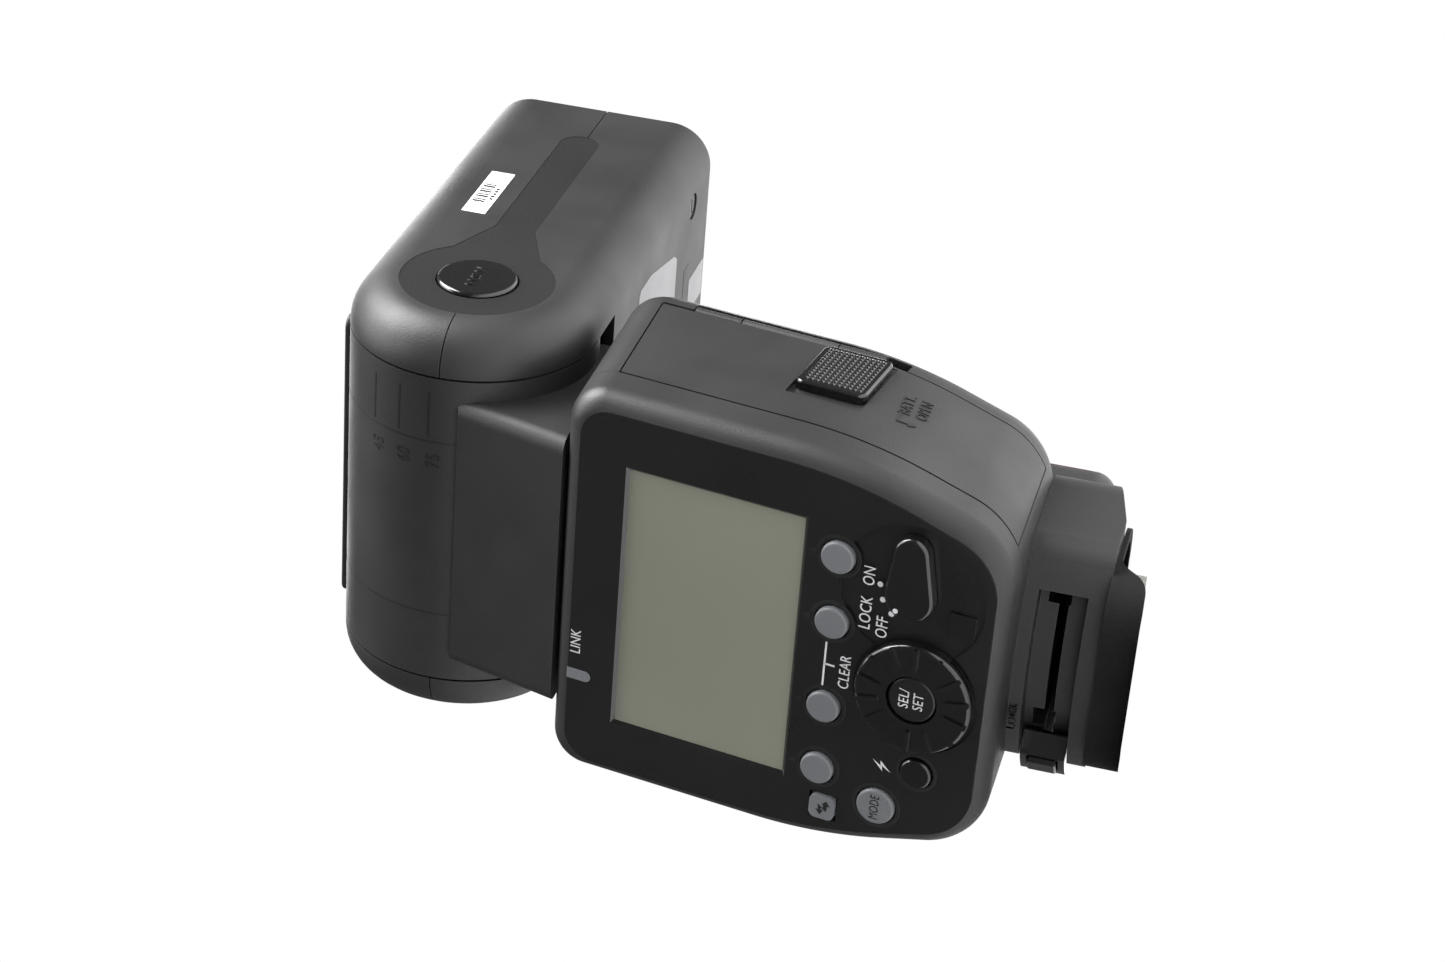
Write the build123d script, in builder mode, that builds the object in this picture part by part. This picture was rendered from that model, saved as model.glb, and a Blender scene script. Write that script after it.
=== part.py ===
from build123d import *
from math import cos, radians, sin, sqrt, tan
import os

# Speedlight flash, upright: +Z up, +Y towards the lens, +X the battery door side.
# The origin is the centre of the shoe foot's underside.

# overall sizes
body_width = 74.0
body_height = 78.0
body_depth = 44.5
body_bottom = 18.0
body_waist = 28.0
body_toe = 28.6
rear_mid_height = 50.0
rear_mid_y = -21.0
panel_lean = 9.05
head_width = 76.8
head_reach = 78.0
drum_radius = 21.6
cheek_width = 8.4
tilt_forward = 36.4
wall = 1.8

# fits
seam = 0.3
button_gap = 0.25
running = 0.05
neck_gap = 0.6
drum_clear = 3.5

# the shoe foot
shoe_width = 18.6
shoe_length = 18.0
shoe_thickness = 2.0
rail_neck = 12.2
housing_bottom = 4.4
housing_half = 21.5
skirt_drop = 1.5
lock_pin_radius = 1.0
lock_pin_y = 6.4
lever_pivot_y = 20.0
lever_radius = 33.0
lever_rest = 40.0
lever_travel = 54.0

# the control panel
lcd_wide = 50.4
lcd_high = 32.3
lcd_v = 69.25
dial_x = -2.06
dial_v = 31.85
dial_radius = 10.15
dial_ribs = 14
button_radius = 2.9
button_row = 47.3
button_columns = (19.7, 7.3, -9.1, -21.4)
lever_x = 16.5
lever_v = 34.3
lever_hub = 4.2
lever_reach = 11.0
panel_thick = 1.2

# the battery side
cell_radius = 7.25
cell_length = 50.5
cell_pitch = 15.2
tray_margin = 1.0
door_top = 89.5
door_inner_x = 25.0
door_setback = 9.3
door_inset = 8.2
door_slide = 4.0
latch_y = 6.55
latch_z = 58.8
latch_wide = 14.5
latch_high = 12.5

# the head
zoom_travel = 24.0
reflector_half = 29.0
reflector_high = 26.0
rod_radius = 1.0
screw_radius = 1.2
tilt_button_radius = 7.0
pad_radius = 13.5
strip_high = 7.5
pad_depth = 0.5
plate_thick = 1.2

# derived sizes
side = body_width / 2
body_top = body_bottom + body_height
tilt_y = rear_mid_y + tilt_forward
tilt_z = body_top + drum_clear + drum_radius
head_half = head_width / 2
drum_half = head_half - cheek_width
head_front = tilt_y + head_reach
head_top = tilt_z + drum_radius
head_floor = tilt_z - drum_radius
slope = tan(radians(panel_lean))
# the body leans back as a whole: front_flat is its front face before it is leaned
front_flat = rear_mid_y + body_depth * cos(radians(panel_lean))
door_front = front_flat - door_inset
lean = (Location((0, rear_mid_y, rear_mid_height)) * Rotation(-panel_lean, 0, 0)
        * Location((0, -rear_mid_y, -rear_mid_height)))
panel = Plane(origin=(0, rear_mid_y, rear_mid_height), x_dir=(1, 0, 0),
              z_dir=(0, -cos(radians(panel_lean)), sin(radians(panel_lean))))


def rear_y(z):
    return rear_mid_y + (z - rear_mid_height) * slope


def front_y(z):
    return rear_y(z) + body_depth


def on_panel(x, v, out=0.0):
    return panel * Location((x, v - rear_mid_height, out))


def face_plane(out):
    return panel.offset(out)


def slab(x0, x1, y0, y1, z0, z1, mode=Mode.ADD):
    with Locations(((x0 + x1) / 2, (y0 + y1) / 2, (z0 + z1) / 2)):
        return Box(abs(x1 - x0), abs(y1 - y0), abs(z1 - z0), mode=mode)


def rod_x(radius, x0, x1, y, z, mode=Mode.ADD):
    with Locations(((x0 + x1) / 2, y, z)):
        return Cylinder(radius, abs(x1 - x0), rotation=(0, 90, 0), mode=mode)


def rod_y(radius, y0, y1, x, z, mode=Mode.ADD):
    with Locations((x, (y0 + y1) / 2, z)):
        return Cylinder(radius, abs(y1 - y0), rotation=(90, 0, 0), mode=mode)


def rod_z(radius, z0, z1, x, y, mode=Mode.ADD):
    with Locations((x, y, (z0 + z1) / 2)):
        return Cylinder(radius, abs(z1 - z0), mode=mode)


def peg(radius, x, v, low, high, mode=Mode.ADD):
    # a round peg square to the control panel, from low to high along its normal
    with Locations(on_panel(x, v, (low + high) / 2)):
        return Cylinder(radius, high - low, mode=mode)


def tile(wide, tall, x, v, low, high, mode=Mode.ADD):
    with Locations(on_panel(x, v, (low + high) / 2)):
        return Box(wide, tall, high - low, mode=mode)


def body_block(inset, rear_round, front_round):
    # the body as one block, inset all round
    with BuildPart() as block:
        with BuildSketch(Plane.XZ) as outline:
            half = side - inset
            with BuildLine():
                Polyline((-half, body_top - inset), (half, body_top - inset),
                         (half, body_bottom + body_waist), (body_toe - inset, body_bottom + inset),
                         (inset - body_toe, body_bottom + inset), (-half, body_bottom + body_waist), close=True)
            make_face()
            fillet(outline.vertices().group_by(Axis.Y)[0], 13.0 - inset)
            fillet(outline.vertices().group_by(Axis.Y)[-1], 6.5 - inset)
            waist = [v for v in outline.vertices() if abs(v.Y - body_bottom - body_waist) < 0.01]
            fillet(waist, 80.0)
        extrude(amount=body_depth * 2, both=True)
        low = body_bottom - 5
        high = body_top + 5
        back = inset / cos(radians(panel_lean))
        with BuildSketch(Plane.YZ):
            with BuildLine():
                Polyline((rear_y(low) + back, low), (rear_y(high) + back, high),
                         (front_y(high) - back, high), (front_y(low) - back, low), close=True)
            make_face()
        extrude(amount=body_width, both=True, mode=Mode.INTERSECT)
        spans = (0.0, 0.5, 1.0)
        rear = [e for e in block.edges()
                if all(abs((e @ t).Y - rear_y((e @ t).Z) - back) < 0.01 for t in spans)]
        fillet(rear, rear_round)
        front = [e for e in block.edges()
                 if all(abs((e @ t).Y - front_y((e @ t).Z) + back) < 0.01 for t in spans)]
        fillet(front, front_round)
    return block.part


def head_block(inset, reach, round_edge):
    # the head as one block: the drum's circle run forward to the lens
    with BuildPart() as block:
        with BuildSketch(Plane.YZ):
            with BuildLine():
                Polyline((tilt_y, head_top - inset), (reach, head_top - inset), (reach, head_floor + inset),
                         (tilt_y, head_floor + inset), close=True)
            make_face()
            with Locations((tilt_y, tilt_z)):
                Circle(drum_radius - inset)
        extrude(amount=head_half - inset, both=True)
        sides = [e for e in block.edges() if all(abs(abs((e @ t).X) - head_half + inset) < 0.01
                                                 for t in (0.0, 0.5, 1.0))]
        runs = [e for e in sides if abs((e @ 0.5).Y - reach) > 0.01]
        fillet(runs, round_edge)
    return block.part


def door_zone(grow):
    # the prism that the battery door is cut from, larger all round by grow
    setback = door_setback + seam
    edge = door_inset / cos(radians(panel_lean))
    low = body_bottom - 6
    high = door_top + grow
    with BuildPart() as zone:
        with BuildSketch(Plane.YZ.offset(door_inner_x - grow)):
            with BuildLine():
                Polyline((rear_y(low) + setback - grow, low), (rear_y(high) + setback - grow, high),
                         (front_y(high) - edge + grow, high), (front_y(low) - edge + grow, low), close=True)
            make_face()
        extrude(amount=body_width)
    return zone.part


def rear_zone(offset, keep_rear):
    # everything behind (or before) a plane parallel to the control panel
    low = -20
    high = body_top + 20
    far = -200 if keep_rear else 200
    with BuildPart() as zone:
        with BuildSketch(Plane.YZ):
            with BuildLine():
                Polyline((rear_y(low) + offset, low), (rear_y(high) + offset, high),
                         (far, high), (far, low), close=True)
            make_face()
        extrude(amount=200, both=True)
    return zone.part


hinge_x = side - 1.25
hinge_y = door_front + 1.5
hinge_low = body_bottom + body_waist + 9.0
hinge_high = door_top + 0.5
hinge_step = (hinge_high - hinge_low) / 4
body_skin_outer = body_block(0.0, 4.0, 7.0)
body_skin_inner = body_block(wall, 2.4, 5.4)
swivel_radius = 10.4

# ---- body shells -------------------------------------------------------------------

panel_inset = 2.6


def panel_sheet(inset, depth):
    # the control panel's outline, as a sheet let into the rear face
    with BuildPart() as sheet:
        with BuildSketch(panel) as rim:
            half = side - inset
            stretch = cos(radians(panel_lean))
            top_v = (body_top - inset - rear_mid_height) / stretch
            waist_v = (body_bottom + body_waist - rear_mid_height) / stretch
            toe_v = (body_bottom + inset - rear_mid_height) / stretch
            with BuildLine():
                Polyline((-half, top_v), (half, top_v), (half, waist_v), (body_toe - inset, toe_v),
                         (inset - body_toe, toe_v), (-half, waist_v), close=True)
            make_face()
            fillet(rim.vertices().group_by(Axis.Y)[0], 13.0 - inset)
            fillet(rim.vertices().group_by(Axis.Y)[-1], 8.0 - inset)
            waist = [v for v in rim.vertices() if abs(v.Y - waist_v) < 0.01]
            fillet(waist, 80.0)
        extrude(amount=-depth)
    return sheet.part


with BuildPart() as body_rear_shell:
    add(body_skin_outer)
    add(body_skin_inner, mode=Mode.SUBTRACT)
    add(rear_zone(door_setback - seam / 2, True), mode=Mode.INTERSECT)
    add(panel_sheet(panel_inset, panel_thick), mode=Mode.SUBTRACT)
    add(panel_sheet(panel_inset + 1.4, wall + 1), mode=Mode.SUBTRACT)
    slab(-side * 2, side * 2, rear_y(body_top) + door_setback - 4, 60, body_top + 0.5, body_top + 9,
         mode=Mode.SUBTRACT)

with BuildPart() as body_front_shell:
    add(body_skin_outer)
    add(body_skin_inner, mode=Mode.SUBTRACT)
    add(rear_zone(door_setback, False), mode=Mode.INTERSECT)
    add(door_zone(seam), mode=Mode.SUBTRACT)
    with Locations(lean):
        slab(side - 2.6, side + 1, door_front, hinge_y + 1.5, hinge_low - door_slide - seam,
             hinge_high + seam, mode=Mode.SUBTRACT)
        # relief for the edge of the door as it swings
        slab(side - 0.8, side + 1, door_front, door_front + 0.65, body_bottom + body_waist, door_top + 6.3,
             mode=Mode.SUBTRACT)
    rod_z(swivel_radius + running, body_top - 6, body_top + 6, 0, tilt_y, mode=Mode.SUBTRACT)
    rod_z(swivel_radius + 1.6 + seam, body_top - 9, body_top - wall, 0, tilt_y, mode=Mode.SUBTRACT)
    # the way down into the foot housing
    slab(-12, 12, 0, 13, body_bottom - 1, body_bottom + 3, mode=Mode.SUBTRACT)
    # screw bosses in the four front corners
    with Locations(lean):
        for sx in (-1, 1):
            for sz in (body_bottom + 26, body_top - 9):
                rod_y(2.6, front_flat - 5, front_flat - wall + 0.4, sx * (side - 10.5), sz)
                rod_y(1.2, front_flat - 6, front_flat + 1, sx * (side - 10.5), sz, mode=Mode.SUBTRACT)
                rod_y(2.4, front_flat - 1.2, front_flat + 1, sx * (side - 10.5), sz, mode=Mode.SUBTRACT)

with BuildPart() as case_screws:
    with Locations(lean):
        for sx in (-1, 1):
            for sz in (body_bottom + 26, body_top - 9):
                x = sx * (side - 10.5)
                rod_y(1.2, front_flat - 4.6, front_flat - 1.2, x, sz)
                rod_y(2.3, front_flat - 1.2, front_flat - 0.3, x, sz)
                slab(x - 1.4, x + 1.4, front_flat - 0.7, front_flat, sz - 0.3, sz + 0.3, mode=Mode.SUBTRACT)

# ---- control panel -----------------------------------------------------------------

mode_x, mode_v, mode_radius = -25.5, 36.4, 3.35
test_x, test_v, test_radius = -16.8, 30.1, 2.75
link_x, link_v, link_size = -28.8, 45.7, 4.5
lamp_x, lamp_v, lamp_size = 12.9, 25.5, 4.6
led_x, led_v = -17.5, 91.5

with BuildPart() as control_panel:
    add(panel_sheet(panel_inset, panel_thick))
    tile(lcd_wide, lcd_high, 0, lcd_v, -9, 9, mode=Mode.SUBTRACT)
    for column in button_columns:
        peg(button_radius + button_gap, column, button_row, -9, 9, mode=Mode.SUBTRACT)
        peg(button_radius + 0.9, column, button_row, -0.4, 9, mode=Mode.SUBTRACT)
    peg(mode_radius + button_gap, mode_x, mode_v, -9, 9, mode=Mode.SUBTRACT)
    peg(test_radius + button_gap, test_x, test_v, -9, 9, mode=Mode.SUBTRACT)
    tile(link_size + button_gap * 2, link_size + button_gap * 2, link_x, link_v, -9, 9, mode=Mode.SUBTRACT)
    tile(lamp_size, lamp_size, lamp_x, lamp_v, -9, 9, mode=Mode.SUBTRACT)
    tile(2.0, 4.2, led_x, led_v, -9, 9, mode=Mode.SUBTRACT)
    # the dial and the power lever each turn in a bore
    peg(dial_radius * 0.7 + running, dial_x, dial_v, -9, 9, mode=Mode.SUBTRACT)
    peg(2.5 + running, lever_x, lever_v, -9, 9, mode=Mode.SUBTRACT)
    peg(dial_radius + 0.7, dial_x, dial_v, -0.5, 9, mode=Mode.SUBTRACT)
    # the countersunk well of the power lever
    peg(lever_reach + 1.6, lever_x, lever_v, -0.5, 9, mode=Mode.SUBTRACT)

with BuildPart() as lcd_window:
    tile(lcd_wide, lcd_high, 0, lcd_v, -panel_thick, -0.6)

with BuildPart() as indicator_lenses:
    tile(lamp_size, lamp_size, lamp_x, lamp_v, -panel_thick, -0.15)
    tile(2.0, 4.2, led_x, led_v, -panel_thick, 0)

with BuildPart() as lcd_module:
    tile(lcd_wide + 5, lcd_high + 4, 0, lcd_v, -5.4, -panel_thick - 0.1)
    tile(lcd_wide, lcd_high, 0, lcd_v, -1.6, 0, mode=Mode.SUBTRACT)

with BuildPart() as button_board:
    tile(body_width * 0.66, 25, -2.5, 37.0, -5.4, -4.2)

button_spots = [(column, button_row) for column in button_columns]
button_spots += [(mode_x, mode_v), (test_x, test_v), (link_x + 1.2, link_v - 1.2)]
with BuildPart() as switch_domes:
    for x, v in button_spots:
        peg(1.9, x, v, -4.2, -3.3)
    peg(1.9, dial_x, dial_v, -4.2, -3.3)


def push_button(x, v, radius, proud):
    # a round cap with a retaining flange behind the panel
    with BuildPart() as cap:
        peg(radius, x, v, -2.5, proud)
        rim = cap.faces().filter_by(panel).sort_by(Axis.Y)[0]
        fillet(rim.edges(), 0.5)
        peg(radius + 0.45, x, v, -2.5, -panel_thick - 0.3)
    return cap.part


with BuildPart() as function_button_1:
    add(push_button(button_columns[0], button_row, button_radius, 0.9))

with BuildPart() as function_button_2:
    add(push_button(button_columns[1], button_row, button_radius, 0.9))

with BuildPart() as function_button_3:
    add(push_button(button_columns[2], button_row, button_radius, 0.9))

with BuildPart() as function_button_4:
    add(push_button(button_columns[3], button_row, button_radius, 0.9))

with BuildPart() as mode_button:
    add(push_button(mode_x, mode_v, mode_radius, 0.7))

with BuildPart() as test_button:
    add(push_button(test_x, test_v, test_radius, 0.8))

with BuildPart() as link_button:
    tile(link_size, link_size, link_x, link_v, -2.5, 0.6)
    fillet(link_button.edges().filter_by(Axis(origin=(0, 0, 0), direction=panel.z_dir)), 1.2)
    tile(link_size + 0.6, link_size + 0.6, link_x, link_v, -2.5, -panel_thick - 0.3)

with BuildPart() as select_dial:
    peg(dial_radius, dial_x, dial_v, -0.2, 1.9)
    peg(dial_radius * 0.7, dial_x, dial_v, -2.4, 0)
    crown = select_dial.faces().filter_by(panel).sort_by(Axis.Y)[0]
    fillet(crown.edges(), 0.8)
    for turn in range(dial_ribs):
        angle = turn * 360 / dial_ribs
        with Locations(on_panel(dial_x, dial_v, 1.9) * Rotation(0, 0, angle) * Location((dial_radius * 0.78, 0, 0))):
            Box(dial_radius * 0.40, 0.7, 1.0)
    peg(4.2 + button_gap, dial_x, dial_v, -9, 9, mode=Mode.SUBTRACT)

with BuildPart() as set_button:
    peg(4.2, dial_x, dial_v, -2.5, 1.7)
    cap = set_button.faces().filter_by(panel).sort_by(Axis.Y)[0]
    fillet(cap.edges(), 0.5)

with BuildPart() as power_lever:
    # a long rounded grip on a short shaft
    with BuildSketch(face_plane(-0.2)):
        with Locations((lever_x, lever_v - rear_mid_height)):
            Circle(lever_hub)
        with Locations((lever_x + lever_reach - 3.0, lever_v - rear_mid_height + 0.3)):
            Circle(3.0)
        make_hull()
    extrude(amount=2.2)
    grip = power_lever.faces().filter_by(panel).sort_by(Axis.Y)[0]
    fillet(grip.edges(), 0.7)
    peg(2.5, lever_x, lever_v, -3.4, 0)

# ---- inside the body ---------------------------------------------------------------

cell_y = front_flat - wall - 3.0 - cell_pitch - tray_margin
cell_z = body_top - 8.0 - cell_pitch - cell_radius
cell_x1 = side - wall - 3.4
cell_x0 = cell_x1 - cell_length
cell_spots = [(cell_y + i * cell_pitch / 2, cell_z + j * cell_pitch / 2) for i in (-1, 1) for j in (-1, 1)]

with BuildPart() as battery_tray:
    reach = cell_pitch + tray_margin
    with Locations(lean):
        slab(cell_x0 - 4.0, cell_x1 - 6.0, cell_y - reach, cell_y + reach, cell_z - reach, cell_z + reach)
        for y, z in cell_spots:
            rod_x(cell_radius + 0.2, cell_x0 - 2.4, cell_x1 + 1, y, z, mode=Mode.SUBTRACT)

with BuildPart() as battery_cells:
    with Locations(lean):
        for i, (y, z) in enumerate(cell_spots):
            nub_left = i in (0, 3)
            x0 = cell_x0 + (1.4 if nub_left else 0.0)
            x1 = cell_x1 - (0.0 if nub_left else 1.4)
            rod_x(cell_radius, x0, x1, y, z)
            rod_x(2.7, cell_x0, cell_x1, y, z)

with BuildPart() as battery_contacts:
    with Locations(lean):
        for y, z in cell_spots:
            rod_x(4.0, cell_x0 - 2.4, cell_x0 - 1.9, y, z)
            rod_x(1.6, cell_x0 - 2.0, cell_x0, y, z)

with BuildPart() as main_board:
    with Locations(lean):
        slab(-side + wall + 3.0, -side + wall + 4.4, rear_mid_y + 9, front_flat - wall - 9,
             body_bottom + 30, body_top - 12)

with BuildPart() as flash_capacitor:
    cap_y = (front_y(30) + rear_y(30)) / 2 + 1.5
    cap_z = body_bottom + wall + 13.0
    cap_half = body_toe * 0.72
    rod_x(10.6, -cap_half, cap_half, cap_y, cap_z)
    fillet(flash_capacitor.edges(), 1.0)
    for dy in (-4, 4):
        rod_x(0.7, cap_half - 1, cap_half + 2.6, cap_y + dy, cap_z)

# ---- battery door ------------------------------------------------------------------

with BuildPart() as battery_door:
    add(body_skin_outer)
    add(body_skin_inner, mode=Mode.SUBTRACT)
    add(door_zone(0.0), mode=Mode.INTERSECT)
    # hinge knuckles at both ends of the pin
    with Locations(lean):
        for low in (hinge_low, hinge_high - hinge_step + seam):
            rod_z(1.25, low, low + hinge_step - seam, hinge_x, hinge_y)
            slab(hinge_x - 0.5, hinge_x + 1.0, door_front - 0.6, hinge_y, low, low + hinge_step - seam)
        rod_z(0.8 + running, hinge_low - 9, hinge_high + 9, hinge_x, hinge_y, mode=Mode.SUBTRACT)
        # the latch's well and the slot its stem runs in
        slab(side - 0.9, side + 5, latch_y - latch_wide / 2 - 3.0, latch_y + latch_wide / 2 + 0.4,
             latch_z - latch_high / 2 - 0.4, latch_z + latch_high / 2 + 0.4, mode=Mode.SUBTRACT)
        slab(side - 5, side + 5, latch_y - 5.6, latch_y + 3.0, latch_z - 2.3, latch_z + 2.3,
             mode=Mode.SUBTRACT)

with BuildPart() as battery_latch:
    with Locations(lean):
        slab(side - 0.7, side + 0.9, latch_y - latch_wide / 2, latch_y + latch_wide / 2,
             latch_z - latch_high / 2, latch_z + latch_high / 2)
    fillet(battery_latch.edges().filter_by(Axis.X), 1.6)
    fillet(battery_latch.faces().sort_by(Axis.X)[-1].edges(), 0.5)
    with Locations(lean):
        slab(side - wall - 1.8, side - 0.6, latch_y - 2.7, latch_y + 2.7, latch_z - 2.0, latch_z + 2.0)
        slab(side - wall - 1.8, side - wall - 0.6, latch_y - 4.5, latch_y + 4.5, latch_z - 3.6,
             latch_z + 3.6)

with BuildPart() as door_hinge_pin:
    with Locations(lean):
        rod_z(0.8, hinge_low, hinge_high, hinge_x, hinge_y)
        rod_z(1.25, hinge_low + hinge_step, hinge_high - hinge_step, hinge_x, hinge_y)
        # the runner that lets the hinge slide down inside the front shell
        slab(side - wall - 3.2, side - wall - 1.6, hinge_y - 0.8, hinge_y + 2.2, hinge_low + hinge_step,
             hinge_high - hinge_step)
        slab(side - wall - 3.0, hinge_x, hinge_y - 0.8, hinge_y + 0.8, hinge_low + hinge_step,
             hinge_high - hinge_step)

# ---- foot housing, lock and shoe ---------------------------------------------------

channel_low = 7.5
channel_high = 15.7
nose_half = 17.0
nose_front = 32.0
nose_low = 8.5
nose_top = body_bottom + 12.0
housing_front = 24.0
rear_rim = lever_radius + 1.2
sole_top = body_bottom + 0.2


shoulder = lever_pivot_y - sqrt(rear_rim ** 2 - housing_half ** 2)

with BuildPart() as nose_block:
    with BuildSketch(Plane.XY.offset(nose_low)):
        with Locations((0, (nose_front + 6) / 2)):
            RectangleRounded(nose_half * 2, nose_front - 6, 7.0)
    extrude(amount=nose_top - nose_low)
    fillet(nose_block.faces().sort_by(Axis.Z)[-1].edges(), 3.0)
    fillet(nose_block.faces().sort_by(Axis.Z)[0].edges(), 4.0)

with BuildPart() as assist_window:
    add(nose_block.part)
    slab(-60, 60, -60, nose_front - 5.0, -60, 60, mode=Mode.SUBTRACT)
    slab(-60, 60, -60, 90, -60, nose_low + 4.6, mode=Mode.SUBTRACT)
    slab(-60, 60, -60, 90, nose_top - 5.0, 90, mode=Mode.SUBTRACT)
    slab(-nose_half + 2.0, nose_half - 2.0, -60, nose_front - 1.8, -60, 90, mode=Mode.SUBTRACT)

with BuildPart() as lower_housing:
    with BuildSketch(Plane.XY.offset(housing_bottom)):
        # a shallow bow behind, straight sides
        with BuildLine():
            ThreePointArc((-housing_half, shoulder), (0, lever_pivot_y - rear_rim), (housing_half, shoulder))
            Polyline((housing_half, shoulder), (housing_half, housing_front), (-housing_half, housing_front),
                     (-housing_half, shoulder))
        make_face()
    extrude(amount=sole_top - housing_bottom)
    fillet(lower_housing.edges().filter_by(Axis.Z).group_by(Axis.Y)[0], 5.0)
    fillet(lower_housing.edges().filter_by(Axis.Z).group_by(Axis.Y)[-1], 12.0)
    add(nose_block.part)
    add(body_skin_outer, mode=Mode.SUBTRACT)
    # hollow for the lock's arm, and the lamp chamber in the nose
    slab(-15.0, 15.0, lever_pivot_y - 27.5, lever_pivot_y + 5.2, channel_low + 3.0, channel_high - 1.4,
         mode=Mode.SUBTRACT)
    # the underside rises towards the front
    with BuildSketch(Plane.YZ):
        with BuildLine():
            Polyline((4, housing_bottom), (30, 9.6), (60, 9.6), (60, -5), (4, -5), close=True)
        make_face()
    extrude(amount=60, both=True, mode=Mode.SUBTRACT)
    slab(3 - nose_half, nose_half - 3, nose_front - 5.8, nose_front - 1.8, nose_low + 3, nose_top - 3,
         mode=Mode.SUBTRACT)
    slab(-60, 60, nose_front - 5.0, 90, nose_low + 4.6, nose_top - 5.0, mode=Mode.SUBTRACT)
    # the lock lever's channel, open at its left end
    with BuildSketch(Plane.XY.offset(channel_low)):
        with Locations((0, lever_pivot_y)):
            Circle(lever_radius + 20)
            Circle(lever_radius - 3.6, mode=Mode.SUBTRACT)
        with Locations((14.5 - 60, lever_pivot_y - 60)):
            Rectangle(120, 120 - 8.0, mode=Mode.INTERSECT)
    extrude(amount=channel_high - channel_low, mode=Mode.SUBTRACT)
    # the slot the arm runs in
    with BuildSketch(Plane.XY.offset(10.8)):
        with Locations((0, lever_pivot_y)):
            Circle(lever_radius - 2.0)
            Circle(5.0, mode=Mode.SUBTRACT)
        with Locations((14.5 - 60, lever_pivot_y - 60)):
            Rectangle(120, 120 - 12.0, mode=Mode.INTERSECT)
    extrude(amount=1.6, mode=Mode.SUBTRACT)
    # the pivot post, and the bore of the lock pin
    rod_z(2.0, channel_low + 2.0, sole_top, 0, lever_pivot_y)
    rod_z(lock_pin_radius + running, 0, channel_low + 4, 0, lock_pin_y, mode=Mode.SUBTRACT)

with BuildPart() as foot_block:
    slab(-rail_neck / 2, rail_neck / 2, -shoe_length / 2 + 0.5, shoe_length / 2 - 0.5, shoe_thickness,
         housing_bottom)
    fillet(foot_block.edges().filter_by(Axis.Z), 1.0)
    rod_z(lock_pin_radius + running, 0, 30, 0, lock_pin_y, mode=Mode.SUBTRACT)

with BuildPart() as shoe_plate:
    slab(-shoe_width / 2, shoe_width / 2, -shoe_length / 2, shoe_length / 2, 0, shoe_thickness)
    fillet(shoe_plate.edges().filter_by(Axis.Z), 1.2)
    rod_z(lock_pin_radius + running, -5, 30, 0, lock_pin_y, mode=Mode.SUBTRACT)
    slab(-6.2, 6.2, -5.2, 4.2, -1, shoe_thickness + 1, mode=Mode.SUBTRACT)

contact_spots = ((0, 0), (-4.2, -3.0), (4.2, -3.0), (-4.2, 2.4), (4.2, 2.4))
with BuildPart() as shoe_contacts:
    for x, y in contact_spots:
        rod_z(1.1 if x else 1.6, -0.4, shoe_thickness - 0.4, x, y)
        fillet(shoe_contacts.edges().group_by(Axis.Z)[0], 0.3)

with BuildPart() as contact_carrier:
    slab(-6.1, 6.1, -5.1, 4.1, 0.15, shoe_thickness)
    for x, y in contact_spots:
        rod_z(1.1 if x else 1.6, -3, shoe_thickness - 0.4, x, y, mode=Mode.SUBTRACT)

with BuildPart() as rubber_skirt:
    # a soft curtain round the foot, long behind and short at the sides
    skirt_half = housing_half - 3.0
    skirt_back = rear_rim - lever_pivot_y + 1.0
    with BuildSketch(Plane.XY.offset(-skirt_drop)) as plan:
        with Locations((0, (13.0 - skirt_back) / 2)):
            RectangleRounded(skirt_half * 2, 13.0 + skirt_back, 8.0)
        offset(amount=-2.2, mode=Mode.SUBTRACT)
    extrude(amount=housing_bottom + skirt_drop)
    with BuildSketch(Plane.YZ) as swoop:
        with BuildLine():
            Spline((-skirt_back + 3.0, -skirt_drop), (-skirt_back + 8.0, 1.0), (-skirt_back + 12.5, 3.6),
                   tangents=((1, 0), (1, 0)))
            Polyline((-skirt_back + 12.5, 3.6), (40, 3.6), (40, -8), (-skirt_back + 3.0, -8),
                     (-skirt_back + 3.0, -skirt_drop))
        make_face()
    extrude(amount=60, both=True, mode=Mode.SUBTRACT)

arm_low, arm_high = 11.0, 12.2
with BuildPart() as lock_lever:
    with BuildSketch(Plane.XY.offset(channel_low + seam)):
        with Locations((0, lever_pivot_y)):
            Circle(lever_radius + 1.6)
            Circle(lever_radius - 3.2, mode=Mode.SUBTRACT)
        with Locations(Location((0, lever_pivot_y)) * Rotation(0, 0, -lever_rest)):
            with Locations((0, -lever_radius)):
                Rectangle(9.0, 16.0, mode=Mode.INTERSECT)
    extrude(amount=channel_high - channel_low - seam * 2)
    fillet(lock_lever.edges().filter_by(Axis.Z), 0.8)
    with BuildSketch(Plane.XY.offset(arm_low)):
        with Locations((0, lever_pivot_y)):
            Circle(4.6)
        with Locations(Location((0, lever_pivot_y)) * Rotation(0, 0, -lever_rest)):
            with Locations((0, -lever_radius / 2)):
                Rectangle(5.0, lever_radius - 2.0)
    extrude(amount=arm_high - arm_low)
    rod_z(2.0 + running, 0, 30, 0, lever_pivot_y, mode=Mode.SUBTRACT)
    # the pocket of the release button
    with Locations(Location((0, lever_pivot_y, (channel_low + channel_high) / 2)) * Rotation(0, 0, -lever_rest)
                   * Location((1.0, -lever_radius - 1.6, 0))):
        Box(5.0, 3.4, 5.4, mode=Mode.SUBTRACT)

with BuildPart() as lock_release:
    with Locations(Location((0, lever_pivot_y, (channel_low + channel_high) / 2)) * Rotation(0, 0, -lever_rest)
                   * Location((1.0, -lever_radius - 1.6, 0))):
        Box(4.5, 1.6, 4.9)
    fillet(lock_release.edges(), 0.3)

with BuildPart() as lock_pin:
    rod_z(lock_pin_radius, 0.6, arm_low - seam, 0, lock_pin_y)
    chamfer(lock_pin.edges().group_by(Axis.Z)[0], 0.3)

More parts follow.
